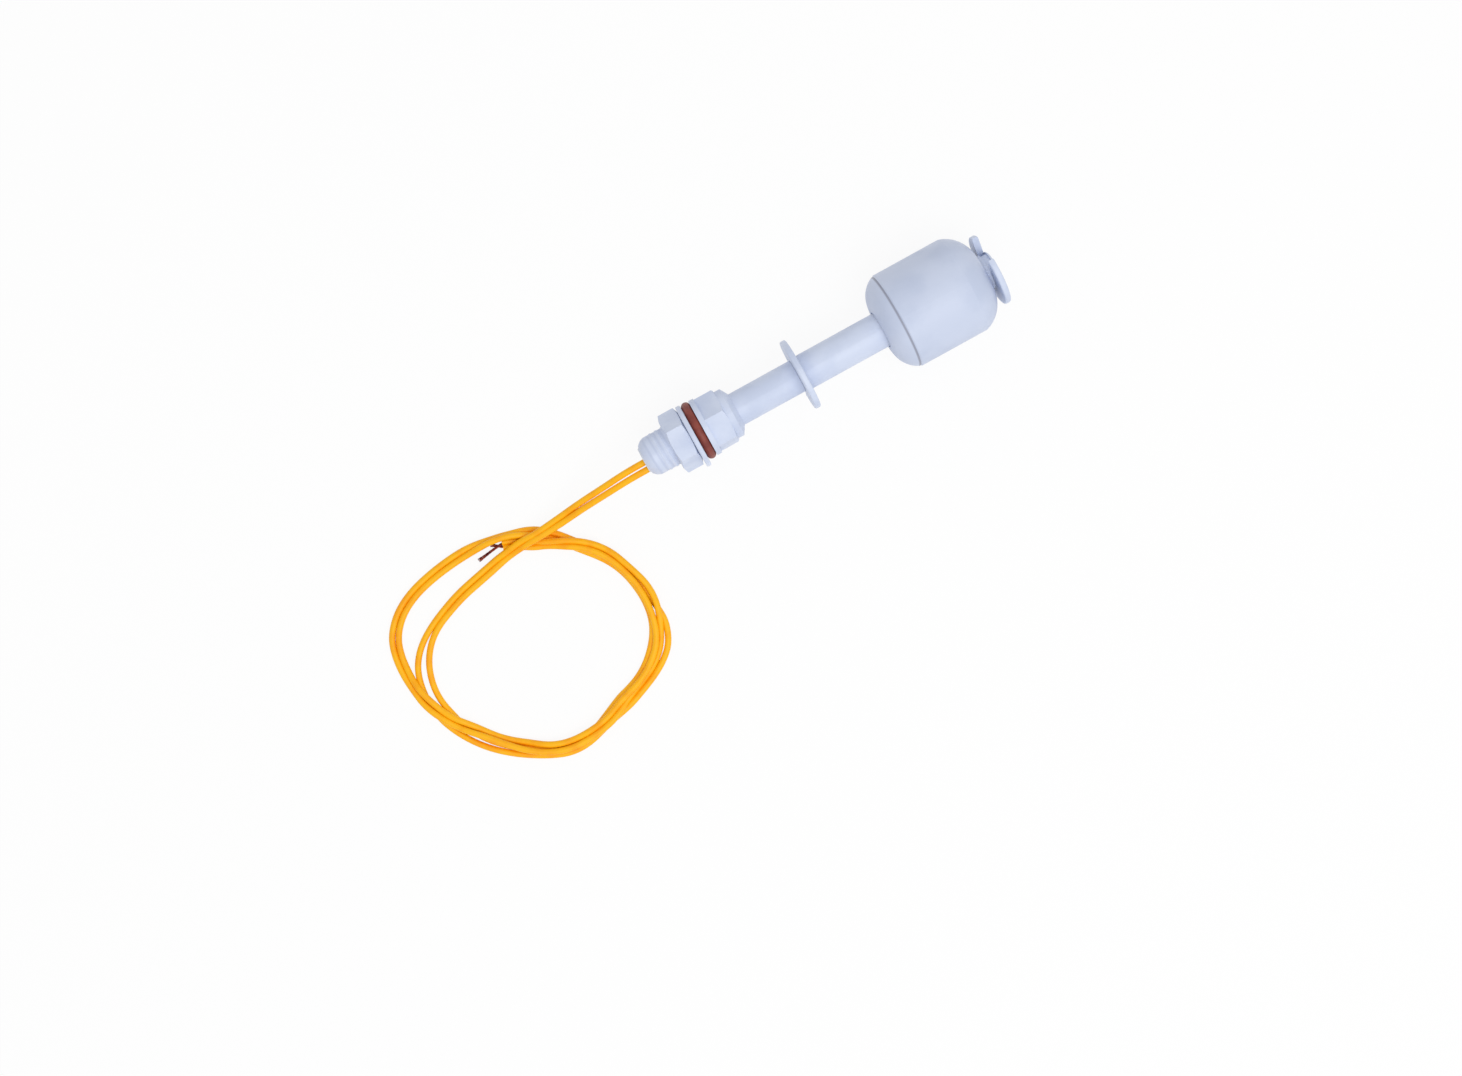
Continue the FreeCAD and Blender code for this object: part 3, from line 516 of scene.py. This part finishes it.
# %% [markdown]
# ## Nodes
# Materials and the world are both webs of nodes. One method makes any node: it sets what
# kind of work the node does first, because that can change its sockets, and then gives
# each socket a value or a link. So every pattern below reads as one expression.

# %% A web of nodes
class Web:
    """The nodes of one material or of the world."""

    def __init__(self, tree):
        self.nodes, self.links = tree.nodes, tree.links

    def node(self, kind, settings=None, inputs=None, output=0):
        """Adds a node: its settings first, then the values or links of its sockets."""
        node = self.nodes.new(kind)
        for name, value in (settings or {}).items():
            setattr(node, name, value)
        for name, value in (inputs or {}).items():
            if isinstance(value, Signal):
                self.links.new(value.socket, node.inputs[name])
            else:
                node.inputs[name].default_value = value
        return Signal(self, node.outputs[output])

    def show(self, surface, end):
        """Links a surface to the web's last node."""
        self.links.new(surface.socket, self.nodes[end].inputs["Surface"])


def colour(red, green, blue):
    """A colour from the usual 0 to 255 numbers, as light."""
    def light(value):
        value /= 255
        return value / 12.92 if value <= 0.04045 else ((value + 0.055) / 1.055) ** 2.4
    return (light(red), light(green), light(blue), 1.0)


print("a middle grey as light:", [round(part, 3) for part in colour(128, 128, 128)])

# %% [markdown]
# ## A finish
# Every surface here is one Principled shader whose colour, gloss and skin vary a little.
# The patterns are solid: they fill space in the frame's own metres, so they need no
# unwrapping, run on across edges, and their size can be given in millimetres.

# %% A material and its patterns
class Finish(Web):
    """One material: its shader, and the nodes that vary it over the surface."""

    def __init__(self, name, **constants):
        self.material = bpy.data.materials.new(name)
        self.material.use_nodes = True
        super().__init__(self.material.node_tree)
        self.shader = self.nodes["Principled BSDF"]
        for socket, value in constants.items():
            self.shader.inputs[socket.replace("_", " ")].default_value = value
        self.place = self.node("ShaderNodeTexCoord", output="Object")

    def along(self, axis):
        """The place along X, Y or Z, in metres. X runs along the stem."""
        return self.node("ShaderNodeSeparateXYZ", None, {"Vector": self.place}, axis)

    def noise(self, size, detail=3.0):
        """Cloudy noise whose patches are about as large as size."""
        return self.node("ShaderNodeTexNoise", None, {
            "Vector": self.place, "Scale": 0.5 / size, "Detail": detail}, "Fac")

    def ramp(self, signal, low, high):
        """Stretches the part of a signal from low to high to 0 to 1."""
        return self.node("ShaderNodeMapRange", {"interpolation_type": "SMOOTHSTEP"},
                         {"Value": signal, "From Min": low, "From Max": high})

    def patches(self, size, detail=3.0, low=0.35, high=0.7):
        """Soft-edged patches about as large as size, from noise between two levels."""
        return self.ramp(self.noise(size, detail), low, high)

    def blend(self, amount, first, second):
        """Mixes two colours."""
        return self.node("ShaderNodeMix", {"data_type": "RGBA"},
                         {"Factor": amount, 6: first, 7: second}, 2)

    def bump(self, height, depth, strength):
        """Lets a signal raise the surface by up to depth."""
        return self.node("ShaderNodeBump", None,
                         {"Height": height, "Distance": depth, "Strength": strength})

    def wear(self, **varying):
        """Links varying signals to the shader."""
        for socket, signal in varying.items():
            self.links.new(signal.socket, self.shader.inputs[socket.replace("_", " ")])
        return self.material


print("a finish can:", [name for name in vars(Finish) if not name.startswith("__")])

# %% [markdown]
# ## White plastic
# The stem, float, clips, nut and washer are moulded in a milky, slightly blue plastic with a satin
# skin. Two noises are enough: a wide one, a few millimetres across, for the faint clouds of uneven
# cooling, and a fine one for the grain of the mould, which makes the gloss uneven and lifts the skin
# by a few hundredths of a millimetre. Some mouldings also carry a second tone, which a small function
# draws: painted shade in the stem's thread roots, and on the float a seam line that is part weld and
# part painted groove shadow.

# %% A satin moulded plastic
def white_plastic(name, tones, cloud, grain, roughness, depth, mark_and_shade=None, mark_and_shade_tone=None):
    """A satin moulded plastic, with a second tone on it where one is given, for a mark or for painted
    shade.
    """
    finish = Finish(name, IOR=1.49)
    clouds = finish.patches(cloud, detail=4.0, high=0.68)
    skin = finish.noise(grain, 2.0)
    tone = finish.blend(clouds, *tones)
    # The second tone is painted shade in the stem's thread roots, and on the float's lid a seam line
    # that is part weld and part painted groove shadow.
    if mark_and_shade:
        tone = finish.blend(mark_and_shade(finish), tone, mark_and_shade_tone)
    return finish.wear(
        Base_Color=tone,
        Roughness=roughness + 0.12 * skin + 0.05 * clouds,
        Normal=finish.bump(skin + 2.0 * clouds, depth, 0.6))


BODY = colour(209, 218, 238), colour(198, 208, 231)
plastics = {
    "hex_nut": white_plastic("nut_plastic", BODY, cloud=2.2 * MM, grain=0.3 * MM,
                             roughness=0.36, depth=0.02 * MM),
    "flat_washer": white_plastic("washer_plastic", (colour(213, 221, 240), BODY[1]),
                                 cloud=1.8 * MM, grain=0.25 * MM, roughness=0.3, depth=0.015 * MM),
    "stop_clip": white_plastic("clip_plastic", BODY, cloud=2.0 * MM, grain=0.3 * MM,
                               roughness=0.34, depth=0.015 * MM),
}
plastics["end_clip"] = plastics["stop_clip"]
print("plain plastics:", list(plastics))

# %% [markdown]
# ## Painted shade in the shank's thread roots
# Less light gets down between the ridges than onto them, so the roots look a little deeper than the
# crests. That shade is painted into the stem's colour. The ridge is a helix: going once round the axis
# moves it by one pitch. So the place along the axis in pitches, plus the angle in turns, is a whole
# number on the ridge and halfway between two numbers in the root. Ping-pong turns that into the
# distance from the nearest whole number, in pitches: the painted shade starts at 0.2 of a pitch from
# the ridge and is full at 0.42. It fades out at both ends of the thread.

# %% The stem's plastic
ROOT_SHADE_SHARE = 0.55
ROOT_FROM, ROOT_FULL = 0.2, 0.42


def painted_root_shade(finish):
    """Painted shade in the thread's roots: strongest between two ridges, 0 on a ridge and off the
    thread.
    """
    x, y, z = (finish.along(axis) for axis in "XYZ")
    turns = (THREAD_FROM - x) * (1 / PITCH) + z.maths("ARCTAN2", y) * (0.5 / math.pi)
    between = finish.ramp(turns.maths("PINGPONG", 0.5), ROOT_FROM, ROOT_FULL)
    threaded = finish.ramp(x, THREAD_TO - 0.4 * MM, THREAD_TO + 0.8 * MM)
    past = finish.ramp(x, THREAD_FROM - 1.0 * MM, THREAD_FROM)
    return between * threaded * (1 - past) * ROOT_SHADE_SHARE


# The stem's plastic carries painted shade in the thread's roots, as a darker blue-grey tone.
plastics["stem_housing"] = white_plastic(
    "stem_plastic", BODY, cloud=3.2 * MM, grain=0.35 * MM, roughness=0.34, depth=0.02 * MM,
    mark_and_shade=painted_root_shade, mark_and_shade_tone=colour(184, 194, 220))
print(f"root tone mixed in by up to {ROOT_SHADE_SHARE:.0%}")

# %% [markdown]
# ## The float and the line at its seam The float is moulded in two parts, and its lid is welded on. Round the float the seam shows as a thin grey line: partly the darker weld itself and partly painted shadow of the small groove at the seam, which would need fine geometry. So the line is a change of tone. It is on the lid's side of the seam, so the lid's plastic draws it: it comes up within half a millimetre of the seam.

# %% The float's plastic
# The float's two tones are a little deeper than the other mouldings': painted shade that evens out the
# extra lamp light the float gets.
FLOAT_SHADED = colour(202, 211, 232), colour(192, 202, 225)
SEAM_FROM_FACE = 3.4 * MM
WELD_FROM, WELD_FULL = 0.5 * MM, 0.25 * MM
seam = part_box("float_lid")[0].x + SEAM_FROM_FACE


def glue_and_groove_shadow_line(finish):
    """The line on the float where its lid meets the shell: part weld, part painted shadow of the
    groove there.
    """
    return finish.ramp(finish.along("X"), seam - WELD_FROM, seam - WELD_FULL)


FLOAT_SKIN = {"cloud": 4.5 * MM, "grain": 0.4 * MM, "roughness": 0.38, "depth": 0.03 * MM}
plastics["float_cup"] = white_plastic("float_plastic", FLOAT_SHADED, **FLOAT_SKIN)
# The lid's plastic draws the seam line: part weld, part painted shadow of the groove at the seam.
plastics["float_lid"] = white_plastic("lid_plastic", FLOAT_SHADED, **FLOAT_SKIN,
                                      mark_and_shade=glue_and_groove_shadow_line, mark_and_shade_tone=colour(148, 152, 170))
print(f"weld line at x = {seam / MM:.1f} mm")

# %% [markdown]
# ## Wire, rubber and resin
# Soft PVC is smooth and bright, with a slightly deeper orange where the dye pooled. The
# seal ring is red-brown silicone rubber, dull with a soft shine. The resin that closes
# the shank is milky. One recipe serves all three: two close tones in soft patches, and a
# finer noise for the skin. They differ in how large the patches are and in their gloss.

# %% Making the soft finishes
def wire_insulation():
    """Yellow-orange PVC with faint streaks and a waxy skin."""
    finish = Finish("wire_insulation", Specular_IOR_Level=0.3)
    streaks = finish.patches(1.6 * MM, low=0.4, high=0.75)
    skin = finish.noise(0.3 * MM, 2.0)
    return finish.wear(
        Base_Color=finish.blend(streaks, colour(255, 186, 10), colour(252, 168, 6)),
        Roughness=0.36 + 0.14 * skin,
        Normal=finish.bump(skin, 0.01 * MM, 0.5))


def seal_rubber():
    """Red-brown silicone rubber."""
    finish = Finish("seal_rubber", IOR=1.43)
    patches = finish.patches(1.2 * MM)
    skin = finish.noise(0.18 * MM, 2.0)
    return finish.wear(
        Base_Color=finish.blend(patches, colour(140, 66, 54), colour(118, 50, 42)),
        Roughness=0.4 + 0.15 * skin,
        Normal=finish.bump(skin, 0.01 * MM, 0.6))


def potting_resin():
    """Milky epoxy resin with a few cloudy spots."""
    finish = Finish("potting_resin", IOR=1.5)
    clouds = finish.patches(0.9 * MM)
    return finish.wear(
        Base_Color=finish.blend(clouds, colour(220, 225, 236), colour(196, 203, 218)),
        Roughness=0.22 + 0.15 * clouds,
        Normal=finish.bump(clouds, 0.03 * MM, 0.6))


finishes = {"wire_insulation": wire_insulation(), "seal_rubber": seal_rubber(),
            "potting_resin": potting_resin()}
print("soft finishes:", list(finishes))

# %% [markdown]
# ## Metals, glass and what is sealed inside
# The copper is dark and oxidised. The reed switch, its solder joints and the magnet are
# sealed in plastic, and show only when the part is cut open or taken apart. They still get
# a true finish each: bright solder, matt black ferrite, and clear glass that is cloudy
# where it was fused. Only tone, spots and gloss set one metal apart from another, so one
# function makes them all, and a second one makes the dull surfaces.

# %% Making the hard finishes
def metal(name, bright, dark, spots, low, spread):
    """A metal with spots of a darker tone, where it is rougher than low by up to spread."""
    finish = Finish(name, Metallic=1.0)
    patches = finish.patches(spots, detail=4.0)
    skin = finish.noise(0.08 * MM, 2.0)
    return finish.wear(
        Base_Color=finish.blend(patches, bright, dark),
        Roughness=low + spread * patches,
        Normal=finish.bump(skin, 0.005 * MM, 0.6))


def dull(name, light, dark, spots, roughness):
    """A dull, slightly grainy surface."""
    finish = Finish(name)
    patches = finish.patches(spots, detail=4.0)
    return finish.wear(
        Base_Color=finish.blend(patches, light, dark),
        Roughness=roughness + 0.12 * patches,
        Normal=finish.bump(patches, 0.02 * MM, 0.7))


def reed_glass():
    """Clear glass with a green tint, and clouded where it was fused."""
    finish = Finish("reed_glass", IOR=1.5, Transmission_Weight=0.9)
    haze = finish.patches(0.8 * MM, detail=2.0, low=0.45, high=0.8)
    return finish.wear(
        Base_Color=finish.blend(haze, colour(214, 236, 222), colour(190, 222, 204)),
        Roughness=0.03 + 0.12 * haze)


finishes |= {
    "copper": metal("copper", colour(150, 72, 56), colour(92, 34, 34),
                    spots=0.5 * MM, low=0.3, spread=0.25),
    "solder": metal("solder", colour(206, 208, 212), colour(160, 162, 168),
                    spots=0.5 * MM, low=0.2, spread=0.25),
    "blade_metal": metal("blade_metal", colour(196, 190, 176), colour(160, 154, 142),
                         spots=0.7 * MM, low=0.25, spread=0.15),
    "ferrite": dull("ferrite", colour(62, 62, 66), colour(44, 44, 48),
                    spots=0.6 * MM, roughness=0.55),
    "sleeve_plastic": dull("sleeve_plastic", colour(40, 40, 43), colour(28, 28, 31),
                           spots=1.0 * MM, roughness=0.45),
    "glass": reed_glass(),
}
print("finishes:", list(finishes))

# %% [markdown]
# ## Giving each piece its finish
# The white mouldings are dressed one by one, by their names, because each has a skin of
# its own. Every other CAD part keeps its mesh and gets the finish that its slot names. The
# new pieces take theirs the same way.

# %% Assigning the finishes
slots = {part["node"]: part["material_slot"] for part in frame["record"]["subparts"]}


def dress(piece, material):
    """Gives a piece one material."""
    piece.data.materials.clear()
    piece.data.materials.append(material)


for node, piece in frame["nodes"].items():
    dress(piece, plastics[node] if node in plastics else finishes[slots[node]])
dress(ridge, plastics["stem_housing"])
for name in wires:
    dress(wires[name], finishes["wire_insulation"])
    dress(copper[name], finishes["copper"])
print(f"{len(frame['nodes'])} CAD pieces dressed")

# %% [markdown]
# ## A background that stays white
# A white background could come from strong lamps, but they would bleach the switch too. So
# floor and world are two things at once. To the camera, and in reflections and glass, they
# are plain white. To all other light they are what they are, so the switch is lit at a
# plain level. The floor keeps a small share of its real surface even to the eye, so that
# the soft shadow under the switch still shows.

# %% A surface that looks white
def white_to_the_eye(web, surface, white, share):
    """Mixes white in where the camera, a mirror or glass looks at a surface."""
    camera_ray = web.node("ShaderNodeLightPath", output="Is Camera Ray")
    seen = camera_ray.maths("MAXIMUM", camera_ray.sibling("Is Glossy Ray"))
    seen = seen.maths("MAXIMUM", camera_ray.sibling("Is Transmission Ray"))
    glow = web.node(white, None, {"Color": (1, 1, 1, 1), "Strength": 1.0})
    return web.node("ShaderNodeMixShader", None, {0: seen * share, 1: surface, 2: glow})


FLOOR_SIZE = 8.0
FLOOR_GAP = 0.02 * MM
FLOOR_WHITE = 0.9
bpy.ops.mesh.primitive_plane_add(size=FLOOR_SIZE, location=(0, 0, FLOOR - FLOOR_GAP))
floor = bpy.context.object
floor.name = "floor"
paper = Finish("floor_paper", Roughness=0.9)
fibres = paper.noise(40 * MM, 2.0)
dress(floor, paper.wear(
    Base_Color=paper.blend(fibres, (0.9, 0.9, 0.9, 1), (0.93, 0.93, 0.93, 1))))
bare = Signal(paper, paper.shader.outputs[0])
paper.show(white_to_the_eye(paper, bare, "ShaderNodeEmission", FLOOR_WHITE), "Material Output")
print(f"floor {FLOOR_SIZE} m wide at z = {(FLOOR - FLOOR_GAP) / MM:.2f} mm")

# %% [markdown]
# ## The light
# The world is an even, soft light from all sides. One wide lamp hangs above the switch, a
# bit towards the lower edge of the view, and gives the round parts their bright side and
# their soft shade. A wide lamp is enough: a small one would draw hard shadows.

# %% Making the light
WORLD_STRENGTH = 0.7
world = bpy.data.worlds.new("studio")
bpy.context.scene.world = world
world.use_nodes = True
sky = Web(world.node_tree)
even_light = sky.nodes["Background"]
even_light.inputs["Color"].default_value = (1.0, 1.0, 1.0, 1.0)
even_light.inputs["Strength"].default_value = WORLD_STRENGTH
sky.show(white_to_the_eye(sky, Signal(sky, even_light.outputs[0]), "ShaderNodeBackground", 1),
         "World Output")

LAMP_PLACE = Vector((0.06, -0.22, 0.5))
light = bpy.data.lights.new("key_light", "AREA")
light.size = 0.4
light.energy = 1.15
lamp = bpy.data.objects.new("key_light", light)
lamp.location = LAMP_PLACE
lamp.rotation_mode = "QUATERNION"
lamp.rotation_quaternion = (-LAMP_PLACE).to_track_quat("-Z", "Y")
bpy.context.scene.collection.objects.link(lamp)
print(f"lamp {light.size:.1f} m wide, {light.energy:.2f} W, {LAMP_PLACE.length:.2f} m away")

# %% [markdown]
# ## Finishing
# The view transform stays plain, so that a colour renders as it was mixed.

# %% Keeping the colours plain
bpy.context.scene.view_settings.view_transform = "Standard"
